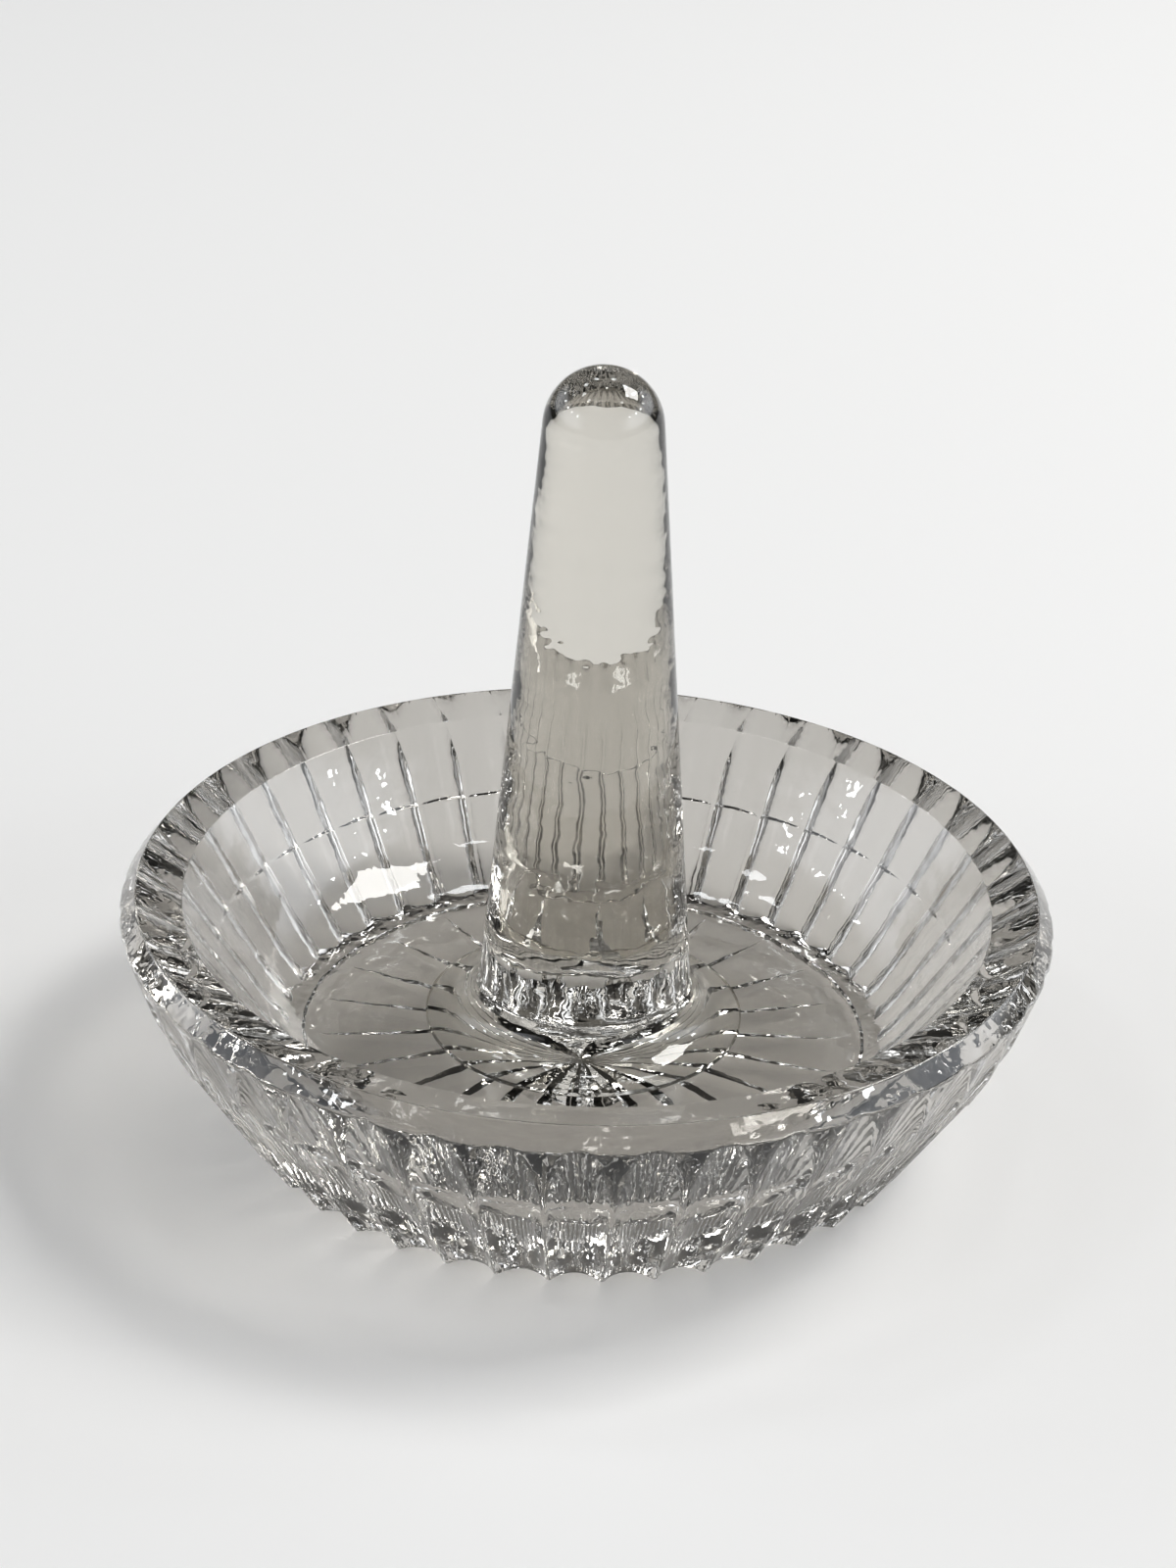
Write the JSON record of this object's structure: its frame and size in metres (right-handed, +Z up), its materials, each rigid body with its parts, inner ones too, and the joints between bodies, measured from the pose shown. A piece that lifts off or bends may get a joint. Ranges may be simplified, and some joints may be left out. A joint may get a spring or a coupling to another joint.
{
  "type": "ring dish",
  "caption": "Low round cut-crystal dish with scalloped fluted sides and a tapered solid post that holds finger rings.",
  "frame": {"origin": "centre of the dish's underside, on the surface that it stands on", "axes": "+Z up along the common axis of the dish and the post, -Y towards the viewer of the picture, +X to the right"},
  "size_m": [0.1, 0.1, 0.0831],
  "materials": {
    "dish_crystal": "clear cut crystal, polished",
    "post_crystal": "clear pressed crystal, fire polished",
    "clear_bond": "cured clear adhesive"
  },
  "bodies": {
    "root": {"dish": "dish_crystal", "ring_post": "post_crystal", "bond_film": "clear_bond"}
  },
  "joints": []
}
